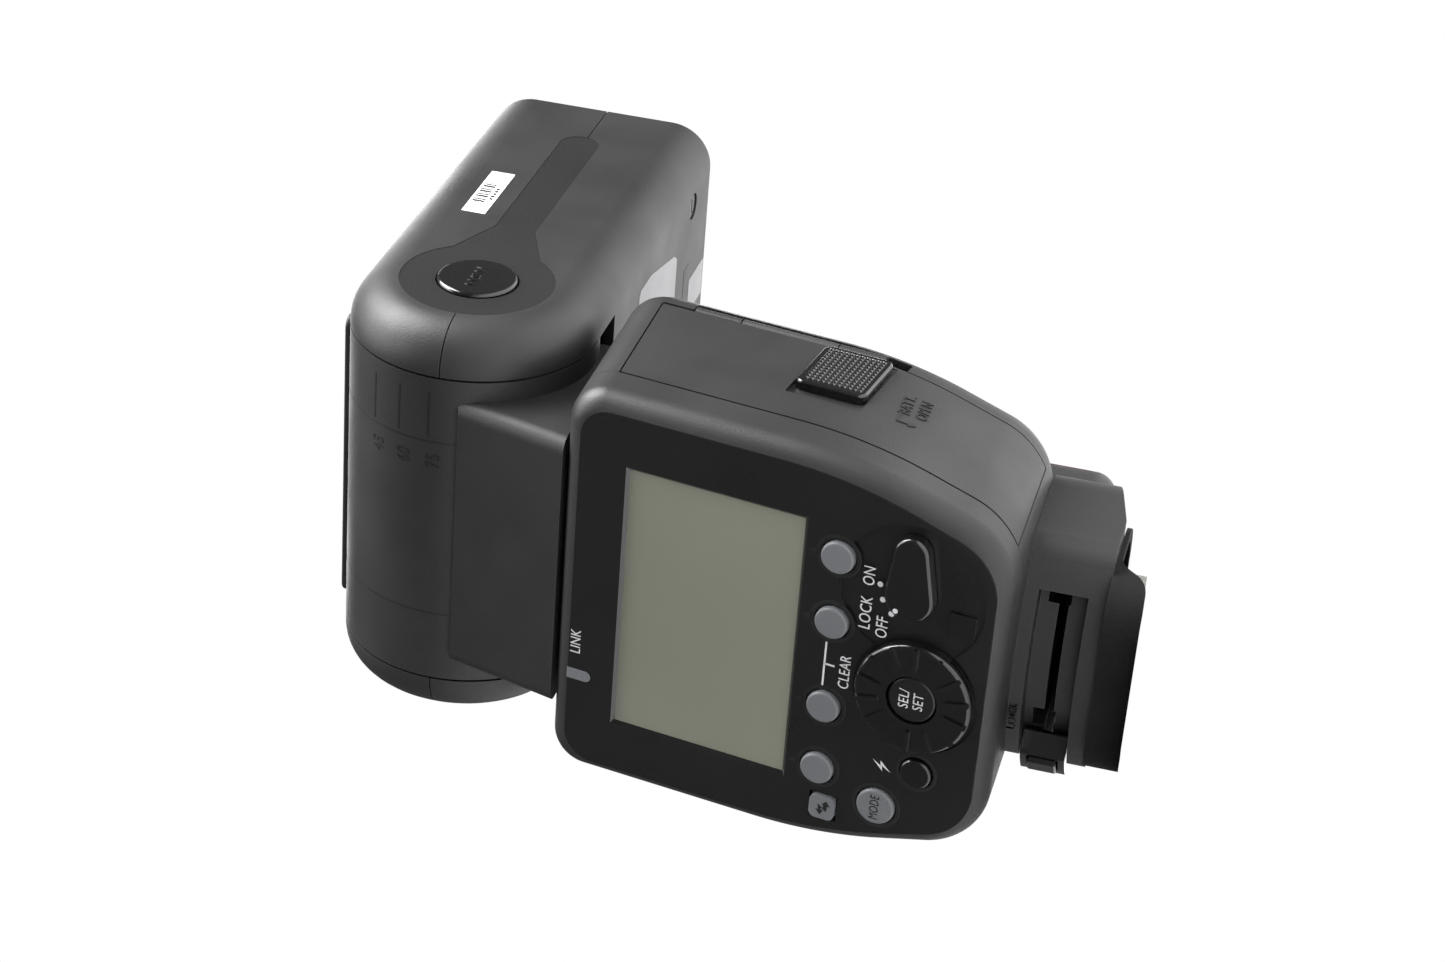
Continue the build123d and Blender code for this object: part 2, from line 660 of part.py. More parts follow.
with BuildPart() as assist_lamps:
    for x in (-9, 9):
        rod_y(2.6, nose_front - 5.2, nose_front - 2.2, x, (nose_low + nose_top) / 2)
        slab(x - 4, x + 4, nose_front - 5.6, nose_front - 5.2, nose_low + 6, nose_top - 6)

# ---- neck --------------------------------------------------------------------------

with BuildPart() as neck_housing:
    base_z = body_top + neck_gap
    rod_x(drum_radius, seam - drum_half, drum_half - seam, tilt_y, tilt_z)
    neck_half = drum_half - 4.0
    with BuildSketch(Plane.YZ) as flank:
        with BuildLine():
            Polyline((rear_y(body_top) + 1.0, base_z), (tilt_y - drum_radius - 0.4, tilt_z - 4.2),
                     (tilt_y, tilt_z), (tilt_y + 8.0, tilt_z), (tilt_y + 8.0, base_z), close=True)
        make_face()
    extrude(amount=neck_half, both=True)
    upright = [e for e in neck_housing.edges() if abs((e @ 0).Z - (e @ 1).Z) > 10 and (e @ 0.5).Y < tilt_y - 15]
    fillet(upright, 2.5)
    rod_z(swivel_radius, base_z - 4.0 - wall, base_z + 1, 0, tilt_y)
    # hollow: the drum and the way down for the wires
    rod_x(drum_radius - 2.0, 2.5 - drum_half, drum_half - 2.5, tilt_y, tilt_z, mode=Mode.SUBTRACT)
    rod_z(swivel_radius - 2.4, 0, tilt_z, 0, tilt_y, mode=Mode.SUBTRACT)

with BuildPart() as swivel_ring:
    rod_z(swivel_radius + 1.6, base_z - 4.0 - wall, body_top - wall - seam, 0, tilt_y)
    rod_z(swivel_radius, 0, body_top + 9, 0, tilt_y, mode=Mode.SUBTRACT)

trunnion = 9.0
with BuildPart() as tilt_trunnions:
    for sx in (-1, 1):
        rod_x(trunnion, sx * (drum_half - seam), sx * (head_half - wall - 3.4), tilt_y, tilt_z)

# ---- head --------------------------------------------------------------------------

head_outer = head_block(0.0, head_front, 8.0)
head_inner = head_block(wall, head_front + 10, 8.0 - wall)

with BuildPart() as pad_shape:
    # the spoon-shaped pad: a ring about the tilt axis and a strip running forward
    with BuildSketch(Plane.YZ.offset(head_half - pad_depth)) as spoon:
        with Locations((tilt_y, tilt_z)):
            Circle(pad_radius)
        with BuildLine():
            Polyline((tilt_y, tilt_z + pad_radius * 0.8), (tilt_y + pad_radius * 0.8, tilt_z + pad_radius * 0.6),
                     (tilt_y + pad_radius * 1.6, tilt_z + strip_high / 2),
                     (head_front - 17, tilt_z + strip_high / 2), (head_front - 17, tilt_z - strip_high / 2),
                     (tilt_y + pad_radius * 1.6, tilt_z - strip_high / 2),
                     (tilt_y + pad_radius * 0.8, tilt_z - pad_radius * 0.6),
                     (tilt_y, tilt_z - pad_radius * 0.8), close=True)
        make_face()
        with Locations((head_front - 17, tilt_z)):
            Circle(strip_high / 2)
    extrude(amount=pad_depth)


def head_cover(upper):
    split = tilt_z - 0.6
    with BuildPart() as cover:
        add(head_outer)
        add(head_inner, mode=Mode.SUBTRACT)
        for sx in (-1, 1):
            rod_x(trunnion + 2.4, sx * (drum_half + 1.0), sx * (head_half - wall + 0.2), tilt_y, tilt_z)
            rod_x(trunnion + running, sx * drum_half, sx * (head_half - wall), tilt_y, tilt_z,
                  mode=Mode.SUBTRACT)
        # room for the drum and the neck
        reach = drum_half + 0.1
        rod_x(drum_radius + seam, -reach, reach, tilt_y, tilt_z, mode=Mode.SUBTRACT)
        slab(-reach, reach, tilt_y - 40, tilt_y + 12, tilt_z - 60, tilt_z, mode=Mode.SUBTRACT)
        add(pad_shape.part, mode=Mode.SUBTRACT)
        rod_x(tilt_button_radius + button_gap, head_half - 4, head_half + 2, tilt_y, tilt_z, mode=Mode.SUBTRACT)
        if upper:
            slab(-90, 90, -90, 190, split - 90, split + 0.1, mode=Mode.SUBTRACT)
        else:
            slab(-90, 90, -90, 190, split - 0.1, split + 90, mode=Mode.SUBTRACT)
            for sx in (-1, 1):
                for y in head_screw_rows:
                    rod_z(2.6, head_floor - 1, head_floor + 1.2, sx * (head_half - 11), y, mode=Mode.SUBTRACT)
                    rod_z(2.9, head_floor + 1.2, head_floor + 6.5, sx * (head_half - 11), y)
                    rod_z(1.2, head_floor - 1, head_floor + 8.0, sx * (head_half - 11), y, mode=Mode.SUBTRACT)
    return cover.part


head_screw_rows = (head_front - 12.0,)
with BuildPart() as head_upper_cover:
    add(head_cover(True))

with BuildPart() as head_lower_cover:
    add(head_cover(False))

with BuildPart() as head_screws:
    for sx in (-1, 1):
        for y in head_screw_rows:
            rod_z(1.2, head_floor + 1.0, head_floor + 6.0, sx * (head_half - 11), y)
            rod_z(2.3, head_floor + 0.3, head_floor + 1.2, sx * (head_half - 11), y)
            slab(sx * (head_half - 11) - 1.4, sx * (head_half - 11) + 1.4, y - 0.3, y + 0.3, head_floor, head_floor + 0.7,
                 mode=Mode.SUBTRACT)

with BuildPart() as grip_pad:
    add(pad_shape.part)
    rod_x(tilt_button_radius + button_gap, head_half - 4, head_half + 2, tilt_y, tilt_z, mode=Mode.SUBTRACT)
    slab(head_half - 0.1, head_half + 5, -50, 150, 0, 200, mode=Mode.SUBTRACT)

with BuildPart() as top_plate:
    slab(-drum_half + 2, drum_half - 2, tilt_y - 3.3, head_front - 6, head_top + seam, head_top + plate_thick)
    slab(-drum_half + 2, drum_half - 2, tilt_y + 12, head_front - 6, head_top, head_top + plate_thick)
    fillet(top_plate.edges().filter_by(Axis.Z), 2.0)
    fillet(top_plate.faces().sort_by(Axis.Z)[-1].edges(), 0.5)

with BuildPart() as tilt_button:
    rod_x(tilt_button_radius, head_half - wall - 2.0, head_half + 0.6, tilt_y, tilt_z)
    fillet(tilt_button.faces().sort_by(Axis.X)[-1].edges(), 0.7)
    rod_x(tilt_button_radius + 1.2, head_half - wall - 1.6, head_half - wall - 0.3, tilt_y, tilt_z)

lead_z = head_floor + wall + 3.5
reflector_low = lead_z + 3.2
reflector_top = reflector_low + reflector_high
reflector_z = (reflector_low + reflector_top) / 2
lens_z = reflector_z - 2.0
lens_half = reflector_half + 3.5
lens_high = 30.0
slot_wide_z = lens_z + lens_high / 2 + 2.6
slot_card_z = slot_wide_z + 2.6

with BuildPart() as front_bezel:
    add(head_block(wall + 0.05, head_front - 0.8, 8.0 - wall))
    slab(-90, 90, -90, head_front - 7, -90, 290, mode=Mode.SUBTRACT)
    slab(-lens_half, lens_half, 0, 200, lens_z - lens_high / 2, lens_z + lens_high / 2, mode=Mode.SUBTRACT)
    slab(-lens_half - 1.5, lens_half + 1.5, 0, head_front - 3.4, lens_z - lens_high / 2 - 1.5,
         lens_z + lens_high / 2 + 0.9, mode=Mode.SUBTRACT)
    slab(-lens_half - seam, lens_half + seam, 0, 200, slot_wide_z - 1.0, slot_wide_z + 1.0, mode=Mode.SUBTRACT)
    slab(-lens_half - seam, lens_half + seam, 0, 200, slot_card_z - 0.8, slot_card_z + 0.8, mode=Mode.SUBTRACT)

with BuildPart() as fresnel_lens:
    slab(-lens_half, lens_half, head_front - 5.4, head_front - 1.6, lens_z - lens_high / 2,
         lens_z + lens_high / 2)
    slab(-lens_half - 1.5, lens_half + 1.5, head_front - 5.4, head_front - 3.4, lens_z - lens_high / 2 - 1.5,
         lens_z + lens_high / 2 + 0.9)
    # stepped grooves on the outside
    for step in range(9):
        z = lens_z - lens_high / 2 + lens_high * (step + 0.5) / 9
        slab(-lens_half + 1, lens_half - 1, head_front - 1.9, head_front - 1, z - 0.35, z + 0.35,
             mode=Mode.SUBTRACT)

with BuildPart() as wide_panel:
    slab(-lens_half + 0.6, lens_half - 0.6, head_front - 38, head_front - 1.0, slot_wide_z - 0.6,
         slot_wide_z + 0.6)
    slab(-6, 6, head_front - 1.2, head_front, slot_wide_z - 0.6, slot_wide_z + 0.6)

with BuildPart() as catchlight_panel:
    slab(-lens_half + 1.6, lens_half - 1.6, head_front - 36, head_front - 1.0, slot_card_z - 0.4,
         slot_card_z + 0.4)
    slab(-5, 5, head_front - 1.2, head_front, slot_card_z - 0.4, slot_card_z + 0.4)

# ---- zoom mechanism ----------------------------------------------------------------

carriage_y = tilt_y + drum_radius + 6.0
chassis_rear = carriage_y - 4.0
chassis_front = head_front - 7.0
rod_x_at = reflector_half + 2.2
motor_radius = 3.2
motor_rear = carriage_y + zoom_travel + 5.0

with BuildPart() as zoom_chassis:
    frame_half = reflector_half + 5.4
    slab(-frame_half, frame_half, chassis_rear, chassis_rear + 1.4, lead_z - 1.7, reflector_top + 0.6)
    slab(-frame_half, frame_half, chassis_front - 1.4, chassis_front, head_floor + wall + 4.2, reflector_top + 0.6)
    for sx in (-1, 1):
        slab(sx * (frame_half - 1.0), sx * frame_half, chassis_rear, chassis_front, lead_z + 4.0,
             reflector_top + 0.6)
        rod_y(rod_radius, 0, 200, sx * rod_x_at, reflector_z, mode=Mode.SUBTRACT)
    slab(-reflector_half - 0.8, reflector_half + 0.8, chassis_front - 3, 200, reflector_low - 0.3,
         reflector_top + 0.3, mode=Mode.SUBTRACT)
    rod_y(screw_radius + running, 0, 200, 0, lead_z, mode=Mode.SUBTRACT)

with BuildPart() as guide_rods:
    for sx in (-1, 1):
        rod_y(rod_radius, chassis_rear, chassis_front, sx * rod_x_at, reflector_z)

with BuildPart() as zoom_motor:
    rod_y(motor_radius, motor_rear, chassis_front - 1.4, 0, lead_z)
    fillet(zoom_motor.edges(), 0.4)

with BuildPart() as zoom_screw:
    rod_y(screw_radius, chassis_rear - 0.8, motor_rear - seam, 0, lead_z)

with BuildPart() as zoom_carriage:
    ear = rod_x_at + rod_radius + 0.9
    slab(-ear, ear, carriage_y, carriage_y + 2.0, reflector_low, reflector_top)
    slab(-3.0, 3.0, carriage_y, carriage_y + 3.6, lead_z - 1.9, reflector_low - 0.2)
    slab(-3.0, 3.0, carriage_y, carriage_y + 2.0, lead_z, reflector_low + 1)
    for sx in (-1, 1):
        rod_y(rod_radius + running, 0, 200, sx * rod_x_at, reflector_z, mode=Mode.SUBTRACT)
    rod_y(screw_radius + running, 0, 200, 0, lead_z, mode=Mode.SUBTRACT)

reflector_deep = 17.0
tube_y = carriage_y + 2.0 + 5.0
with BuildPart() as reflector:
    slab(-reflector_half, reflector_half, carriage_y + 2.0, carriage_y + 2.0 + reflector_deep, reflector_low,
         reflector_top)
    # the flared trough, open to the front
    with BuildSketch(Plane.YZ) as trough:
        half = reflector_high / 2 - 0.8
        near = carriage_y + 2.0 + 1.0
        far = carriage_y + 2.0 + reflector_deep + 0.01
        with BuildLine():
            Spline((far, reflector_z + half), (near + 6, reflector_z + half * 0.62), (near, reflector_z),
                   (near + 6, reflector_z - half * 0.62), (far, reflector_z - half))
            Line((far, reflector_z - half), (far, reflector_z + half))
        make_face()
    extrude(amount=reflector_half - 0.8, both=True, mode=Mode.SUBTRACT)
    rod_x(2.4, -90, 90, tube_y, reflector_z, mode=Mode.SUBTRACT)

with BuildPart() as flash_tube:
    rod_x(2.2, 2 - reflector_half, reflector_half - 2, tube_y, reflector_z)
    rod_x(2.4, -reflector_half, 2 - reflector_half, tube_y, reflector_z)
    rod_x(2.4, reflector_half - 2, reflector_half, tube_y, reflector_z)

# ---- files -------------------------------------------------------------------------

pieces = {
    "body_rear_shell": body_rear_shell,
    "body_front_shell": body_front_shell,
    "case_screws": case_screws,
    "control_panel": control_panel,
    "lcd_window": lcd_window,
    "indicator_lenses": indicator_lenses,
    "lcd_module": lcd_module,
    "button_board": button_board,
    "switch_domes": switch_domes,
    "function_button_1": function_button_1,
    "function_button_2": function_button_2,
    "function_button_3": function_button_3,
    "function_button_4": function_button_4,
    "mode_button": mode_button,
    "test_button": test_button,
    "link_button": link_button,
    "select_dial": select_dial,
    "set_button": set_button,
    "power_lever": power_lever,
    "battery_tray": battery_tray,
    "battery_cells": battery_cells,
    "battery_contacts": battery_contacts,
    "main_board": main_board,
    "flash_capacitor": flash_capacitor,
    "battery_door": battery_door,
    "battery_latch": battery_latch,
    "door_hinge_pin": door_hinge_pin,
    "lower_housing": lower_housing,
    "assist_window": assist_window,
    "assist_lamps": assist_lamps,
    "foot_block": foot_block,
    "shoe_plate": shoe_plate,
    "shoe_contacts": shoe_contacts,
    "contact_carrier": contact_carrier,
    "rubber_skirt": rubber_skirt,
    "lock_lever": lock_lever,
    "lock_release": lock_release,
    "lock_pin": lock_pin,
    "neck_housing": neck_housing,
    "swivel_ring": swivel_ring,
    "tilt_trunnions": tilt_trunnions,
    "head_upper_cover": head_upper_cover,
    "head_lower_cover": head_lower_cover,
    "head_screws": head_screws,
    "grip_pad": grip_pad,
    "top_plate": top_plate,
    "tilt_button": tilt_button,
    "front_bezel": front_bezel,
    "fresnel_lens": fresnel_lens,
    "wide_panel": wide_panel,
    "catchlight_panel": catchlight_panel,
    "zoom_chassis": zoom_chassis,
    "guide_rods": guide_rods,
    "zoom_motor": zoom_motor,
    "zoom_screw": zoom_screw,
    "zoom_carriage": zoom_carriage,
    "reflector": reflector,
    "flash_tube": flash_tube,
}

os.makedirs("parts", exist_ok=True)
for name, piece in pieces.items():
    piece.part.label = name
    export_step(piece.part, f"parts/{name}.step")
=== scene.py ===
import math
import bmesh
import bpy
from mathutils import Matrix, Vector


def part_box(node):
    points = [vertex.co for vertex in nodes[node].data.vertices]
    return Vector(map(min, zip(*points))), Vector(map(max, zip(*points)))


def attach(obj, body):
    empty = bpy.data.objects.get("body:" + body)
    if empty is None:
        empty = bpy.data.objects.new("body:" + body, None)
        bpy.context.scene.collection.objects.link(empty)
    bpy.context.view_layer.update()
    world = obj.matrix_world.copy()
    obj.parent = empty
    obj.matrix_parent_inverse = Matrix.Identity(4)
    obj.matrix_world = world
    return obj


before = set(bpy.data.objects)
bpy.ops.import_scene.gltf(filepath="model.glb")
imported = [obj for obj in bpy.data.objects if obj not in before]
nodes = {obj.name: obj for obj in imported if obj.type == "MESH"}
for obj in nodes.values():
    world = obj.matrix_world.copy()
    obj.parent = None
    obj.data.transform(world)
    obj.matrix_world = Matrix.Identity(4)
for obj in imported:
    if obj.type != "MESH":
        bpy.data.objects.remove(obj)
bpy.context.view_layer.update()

mm = 0.001
scene = bpy.context.scene
print("frame in:", len(nodes), "nodes")


def newMaterial(name):
    mat = bpy.data.materials.new(name)
    mat.use_nodes = True
    tree = mat.node_tree
    return mat, tree, tree.nodes["Principled BSDF"]


def objectNoise(tree, scale, detail=3.0, rough=0.5, stretch=(1, 1, 1)):
    place = tree.nodes.new("ShaderNodeTexCoord")
    mapping = tree.nodes.new("ShaderNodeMapping")
    mapping.inputs["Scale"].default_value = stretch
    noise = tree.nodes.new("ShaderNodeTexNoise")
    noise.inputs["Scale"].default_value = scale
    noise.inputs["Detail"].default_value = detail
    noise.inputs["Roughness"].default_value = rough
    tree.links.new(place.outputs["Object"], mapping.inputs["Vector"])
    tree.links.new(mapping.outputs["Vector"], noise.inputs["Vector"])
    return noise


noiseBand = (0.3, 0.7)  # where the noise's usual values begin and end


def tones(tree, noise, low, high):
    ramp = tree.nodes.new("ShaderNodeValToRGB")
    for stop, place, colour in zip(ramp.color_ramp.elements, noiseBand, (low, high)):
        stop.position = place
        stop.color = colour
    tree.links.new(noise.outputs["Fac"], ramp.inputs["Fac"])
    return ramp.outputs["Color"]


def grey(value, tint=(1, 1, 1)):
    return (value * tint[0], value * tint[1], value * tint[2], 1)


def dimmed(colour, share):
    return tuple(c * share for c in colour[:3]) + (1,)


def edgeMask(tree, radius):
    # 1 along sharp edges, 0 on flats, from how far a bevelled normal leans away
    bevel = tree.nodes.new("ShaderNodeBevel")
    bevel.samples = 4
    bevel.inputs["Radius"].default_value = radius
    geometry = tree.nodes.new("ShaderNodeNewGeometry")
    dot = tree.nodes.new("ShaderNodeVectorMath")
    dot.operation = "DOT_PRODUCT"
    tree.links.new(bevel.outputs["Normal"], dot.inputs[0])
    tree.links.new(geometry.outputs["Normal"], dot.inputs[1])
    spread = tree.nodes.new("ShaderNodeMapRange")
    spread.inputs["From Min"].default_value = 1.0
    spread.inputs["From Max"].default_value = 0.8
    tree.links.new(dot.outputs["Value"], spread.inputs["Value"])
    return spread.outputs["Result"]


def times(tree, source, factor):
    product = tree.nodes.new("ShaderNodeMath")
    product.operation = "MULTIPLY"
    tree.links.new(source, product.inputs[0])
    if isinstance(factor, float):
        product.inputs[1].default_value = factor
    else:
        tree.links.new(factor, product.inputs[1])
    return product.outputs["Value"]


def mixColour(tree, factor, under, over):
    mix = tree.nodes.new("ShaderNodeMix")
    mix.data_type = "RGBA"
    tree.links.new(factor, mix.inputs["Factor"])
    tree.links.new(under, mix.inputs["A"])
    mix.inputs["B"].default_value = over
    return mix.outputs["Result"]


def mouldedPlastic(name, spec):
    # fine spark-eroded grain, slow colour drift, paler worn edges
    mat, tree, shader = newMaterial(name)
    drift = objectNoise(tree, spec["driftScale"], 4.0)
    base = tones(tree, drift, grey(spec["dark"], spec["tint"]), grey(spec["light"], spec["tint"]))
    if spec["wear"] > 0:
        patch = objectNoise(tree, spec["wearScale"], 5.0, 0.7)
        worn = times(tree, edgeMask(tree, spec["wearRadius"]), patch.outputs["Fac"])
        rubbed = grey(spec["light"] * spec["wearPaler"], spec["tint"])
        base = mixColour(tree, times(tree, worn, spec["wear"]), base, rubbed)
    tree.links.new(base, shader.inputs["Base Color"])
    polish = objectNoise(tree, spec["polishScale"], 3.0)
    gloss = tones(tree, polish, grey(spec["roughLow"]), grey(spec["roughHigh"]))
    tree.links.new(gloss, shader.inputs["Roughness"])
    grain = objectNoise(tree, spec["grainScale"], 2.0, 0.6)
    bump = tree.nodes.new("ShaderNodeBump")
    bump.inputs["Strength"].default_value = spec["grain"]
    bump.inputs["Distance"].default_value = spec["grainDepth"]
    tree.links.new(grain.outputs["Fac"], bump.inputs["Height"])
    tree.links.new(bump.outputs["Normal"], shader.inputs["Normal"])
    shader.inputs["Specular IOR Level"].default_value = spec["specular"]
    shader.inputs["Coat Weight"].default_value = spec["coat"]
    shader.inputs["Coat Roughness"].default_value = spec["coatRough"]
    return mat


# every plastic starts from these, and the table under it says what each one changes
plainPlastic = {
    "tint": (1, 1, 1.03), "dark": 0.010, "light": 0.016, "driftScale": 25,
    "polishScale": 60, "roughLow": 0.44, "roughHigh": 0.56,
    "grainScale": 2600, "grain": 0.35, "grainDepth": 0.0001,
    "wear": 0.25, "wearRadius": 0.0004, "wearScale": 900, "wearPaler": 5,
    "specular": 0.5, "coat": 0.0, "coatRough": 0.1,
}
plastics = {
    "caseBlack": {},
    "panelBlack": {"dark": 0.006, "light": 0.008, "roughLow": 0.26, "roughHigh": 0.34,
                   "grain": 0.05, "grainScale": 900, "wear": 0.1},
    "leverBlack": {"dark": 0.004, "light": 0.006, "roughLow": 0.14, "roughHigh": 0.22,
                   "grain": 0.04, "grainScale": 700, "wear": 0.15, "coat": 0.3},
    "keyGrey": {"dark": 0.115, "light": 0.14, "tint": (0.96, 1, 1.06), "roughLow": 0.38,
                "roughHigh": 0.5, "grain": 0.15, "wear": 0.1},
    "innerGrey": {"dark": 0.02, "light": 0.03, "wear": 0.0},
    "rubberBlack": {"dark": 0.004, "light": 0.008, "roughLow": 0.6, "roughHigh": 0.78,
                    "grain": 0.6, "grainScale": 1500, "wear": 0.35, "specular": 0.25},
    "boardGreen": {"tint": (0.25, 1, 0.45), "dark": 0.06, "light": 0.1, "wear": 0.0},
    "cellWrap": {"tint": (0.25, 0.6, 1), "dark": 0.2, "light": 0.26, "wear": 0.0,
                 "roughLow": 0.25, "roughHigh": 0.35},
    "cardWhite": {"dark": 0.7, "light": 0.76, "wear": 0.0},
    "redWindow": {"tint": (1, 0.03, 0.08), "dark": 0.05, "light": 0.07, "roughLow": 0.06,
                  "roughHigh": 0.12, "grain": 0.02, "wear": 0.0, "coat": 0.5},
    # pad-printed paint: slightly uneven, a little gloss
    "inkPale": {"dark": 0.4675, "light": 0.55, "driftScale": 300, "grain": 0.1,
                "grainScale": 1200, "wear": 0.0},
    # dark moulded marks and figures, and also the painted shade in the key wells
    "darkMarksAndShade": {"dark": 0.003, "light": 0.005, "wear": 0.0},
    "labelPaper": {"dark": 0.72, "light": 0.8, "grain": 0.1, "wear": 0.0, "roughLow": 0.3,
                   "roughHigh": 0.4},
    "labelGrey": {"dark": 0.2, "light": 0.24, "grain": 0.1, "wear": 0.0},
}


def brushedMetal(name, spec):
    mat, tree, shader = newMaterial(name)
    lines = objectNoise(tree, 400, 6.0, 0.7, spec["stretch"])
    tone = tones(tree, lines, dimmed(spec["colour"], 0.8), spec["colour"])
    tree.links.new(tone, shader.inputs["Base Color"])
    rough = tones(tree, lines, grey(spec["roughLow"]), grey(spec["roughHigh"]))
    tree.links.new(rough, shader.inputs["Roughness"])
    shader.inputs["Metallic"].default_value = 1.0
    return mat


metals = {
    "shoeMetal": {"colour": (0.78, 0.76, 0.72, 1), "roughLow": 0.22, "roughHigh": 0.38,
                  "stretch": (1, 12, 1)},
    "steel": {"colour": (0.62, 0.62, 0.63, 1), "roughLow": 0.2, "roughHigh": 0.35,
              "stretch": (8, 1, 1)},
    "gilt": {"colour": (0.85, 0.65, 0.3, 1), "roughLow": 0.15, "roughHigh": 0.3,
             "stretch": (1, 1, 1)},
    "darkSteel": {"colour": (0.07, 0.07, 0.075, 1), "roughLow": 0.3, "roughHigh": 0.45,
                  "stretch": (1, 1, 1)},
    "mirrorTin": {"colour": (0.9, 0.9, 0.92, 1), "roughLow": 0.08, "roughHigh": 0.15,
                  "stretch": (4, 1, 1)},
}


def clearGlass(name, spec):
    mat, tree, shader = newMaterial(name)
    drift = objectNoise(tree, 40, 2.0)
    tone = tones(tree, drift, dimmed(spec["tint"], 0.96), spec["tint"])
    tree.links.new(tone, shader.inputs["Base Color"])
    haze = tones(tree, drift, grey(spec["rough"]), grey(spec["rough"] * 1.6))
    tree.links.new(haze, shader.inputs["Roughness"])
    shader.inputs["Transmission Weight"].default_value = 1.0
    shader.inputs["IOR"].default_value = 1.49  # acrylic
    return mat


glasses = {
    "lensClear": {"tint": (0.95, 0.97, 0.98, 1), "rough": 0.05},
    "tubeGlass": {"tint": (0.9, 0.93, 0.98, 1), "rough": 0.02},
}


def displayFace(name, spec):
    mat, tree, shader = newMaterial(name)
    drift = objectNoise(tree, 18, 2.0)
    tree.links.new(tones(tree, drift, spec["dark"], spec["light"]), shader.inputs["Base Color"])
    haze = tones(tree, drift, grey(spec["roughLow"]), grey(spec["roughHigh"]))
    tree.links.new(haze, shader.inputs["Roughness"])
    shader.inputs["Coat Weight"].default_value = spec["coat"]
    shader.inputs["Coat Roughness"].default_value = spec["coatRough"]
    return mat


displays = {
    "displayGlass": {"dark": (0.165, 0.172, 0.135, 1), "light": (0.182, 0.19, 0.15, 1),
                     "roughLow": 0.3, "roughHigh": 0.4, "coat": 0.6, "coatRough": 0.12},
}

mats = {name: mouldedPlastic(name, {**plainPlastic, **spec}) for name, spec in plastics.items()}
mats.update({name: brushedMetal(name, spec) for name, spec in metals.items()})
mats.update({name: clearGlass(name, spec) for name, spec in glasses.items()})
mats.update({name: displayFace(name, spec) for name, spec in displays.items()})

finish = {
    "caseBlack": ["body_rear_shell", "body_front_shell", "battery_door", "lower_housing",
                  "neck_housing", "head_upper_cover", "head_lower_cover", "top_plate",
                  "front_bezel"],
    "panelBlack": ["control_panel", "set_button"],
    "leverBlack": ["power_lever", "select_dial", "battery_latch", "lock_lever", "lock_release",
                   "test_button", "tilt_button", "indicator_lenses"],
    "keyGrey": ["function_button_1", "function_button_2", "function_button_3",
                "function_button_4", "mode_button", "link_button"],
    "innerGrey": ["battery_tray", "door_hinge_pin", "contact_carrier", "foot_block",
                  "swivel_ring", "tilt_trunnions", "zoom_chassis", "zoom_carriage",
                  "lcd_module"],
    "rubberBlack": ["rubber_skirt", "grip_pad", "switch_domes"],
    "boardGreen": ["main_board", "button_board"],
    "cellWrap": ["battery_cells", "flash_capacitor"],
    "cardWhite": ["catchlight_panel"],
    "redWindow": ["assist_window"],
    "shoeMetal": ["shoe_plate"],
    "steel": ["battery_contacts", "guide_rods", "zoom_screw", "zoom_motor", "lock_pin"],
    "darkSteel": ["case_screws", "head_screws"],
    "gilt": ["shoe_contacts"],
    "mirrorTin": ["reflector"],
    "lensClear": ["fresnel_lens", "wide_panel", "assist_lamps"],
    "tubeGlass": ["flash_tube"],
    "displayGlass": ["lcd_window"],
}
for finishName, names in finish.items():
    for name in names:
        piece = nodes[name]
        if not piece.material_slots:
            piece.data.materials.append(mats[finishName])
        for place in piece.material_slots:
            place.material = mats[finishName]
print("finishes on")

# the rear panel leans back with the whole body; x runs across it, v up it, both in mm
panelPlane = {"lean": 9.05, "midY": -21.0, "midV": 50.0}
lean = math.radians(panelPlane["lean"])
panelMatrix = Matrix(((1, 0, 0, 0),
                      (0, math.sin(lean), -math.cos(lean), panelPlane["midY"] * mm),
                      (0, math.cos(lean), math.sin(lean), panelPlane["midV"] * mm),
                      (0, 0, 0, 1)))


def panelSpot(x, v, out=0.0):
    return panelMatrix @ Matrix.Translation((x * mm, (v - panelPlane["midV"]) * mm, out * mm))


def facing(place, across, upward):
    # a flat frame: local x runs along across, local y along upward
    across = Vector(across).normalized()
    upward = Vector(upward).normalized()
    spot = Matrix((across, upward, across.cross(upward))).transposed().to_4x4()
    return Matrix.Translation(Vector(place) * mm) @ spot


def addPiece(name, mesh, mat, body):
    mesh.materials.clear()
    mesh.materials.append(mats[mat])
    piece = bpy.data.objects.new(name, mesh)
    scene.collection.objects.link(piece)
    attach(piece, body)
    return piece


def addMesh(name, shape, mat, body):
    mesh = bpy.data.meshes.new(name)
    shape.to_mesh(mesh)
    shape.free()
    return addPiece(name, mesh, mat, body)


def prism(shape, outline, low, high, spot):
    # a flat outline (mm, in the spot's own plane) pulled from low to high
    base = [shape.verts.new(spot @ Vector((x * mm, y * mm, low * mm))) for x, y in outline]
    top = [shape.verts.new(spot @ Vector((x * mm, y * mm, high * mm))) for x, y in outline]
    count = len(outline)
    shape.faces.new(top)
    shape.faces.new(base[::-1])
    for i in range(count):
        j = (i + 1) % count
        shape.faces.new((base[i], base[j], top[j], top[i]))


def bar(x0, x1, y0, y1):
    return [(x0, y0), (x1, y0), (x1, y1), (x0, y1)]


def centredBar(halfX, halfY):
    return bar(-halfX, halfX, -halfY, halfY)


def circle(x, y, radius, steps=24):
    turns = [2 * math.pi * i / steps for i in range(steps)]
    return [(x + radius * math.cos(turn), y + radius * math.sin(turn)) for turn in turns]


def shifted(outline, x, y):
    return [(px + x, py + y) for px, py in outline]


